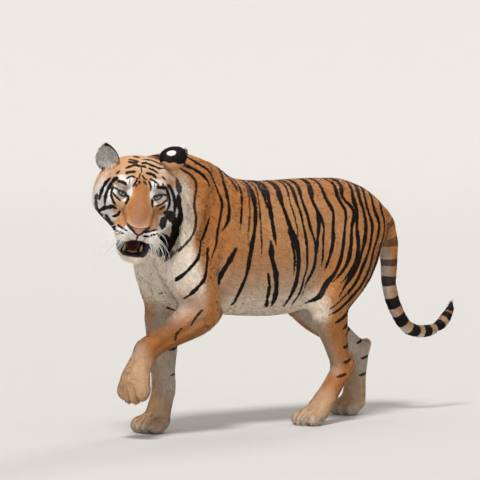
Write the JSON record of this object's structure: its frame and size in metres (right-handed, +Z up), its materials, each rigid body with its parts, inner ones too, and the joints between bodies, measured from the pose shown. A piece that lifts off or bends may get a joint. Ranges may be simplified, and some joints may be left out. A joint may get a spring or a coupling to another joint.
{
  "type": "Bengal tiger",
  "caption": "Life-size walking Bengal tiger, one forepaw lifted, head turned to its left with the mouth slightly open.",
  "frame": {"origin": "middle of the animal's bounding box, on the floor under its planted paws", "axes": "+X the animal's left, +Y towards the tail, +Z up"},
  "size_m": [0.4768, 1.77, 1.0199],
  "materials": {
    "striped_coat": "short glossy fur, orange with black stripes and white underparts",
    "eye": "wet, clear cornea over a pale green-gold iris",
    "nose_leather": "moist, finely grained, pink with a dark rim",
    "tongue_flesh": "moist",
    "tooth": "polished enamel",
    "claw": "smooth horn",
    "whisker": "smooth stiff hair"
  },
  "bodies": {
    "root": {"belly": "striped_coat", "chest": "striped_coat", "ear_left": "striped_coat", "ear_right": "striped_coat", "eye_left": "eye", "eye_right": "eye", "fore_left_forearm": "striped_coat", "fore_left_paw": "striped_coat", "fore_left_upper": "striped_coat", "fore_right_forearm": "striped_coat", "fore_right_paw": "striped_coat", "fore_right_upper": "striped_coat", "head": "striped_coat", "hind_left_foot": "striped_coat", "hind_left_shank": "striped_coat", "hind_left_thigh": "striped_coat", "hind_right_foot": "striped_coat", "hind_right_shank": "striped_coat", "hind_right_thigh": "striped_coat", "lower_jaw": "striped_coat", "neck": "striped_coat", "nose": "nose_leather", "rump": "striped_coat", "tail_middle": "striped_coat", "tail_root": "striped_coat", "tail_tip": "striped_coat", "tongue": "tongue_flesh"}
  },
  "joints": []
}
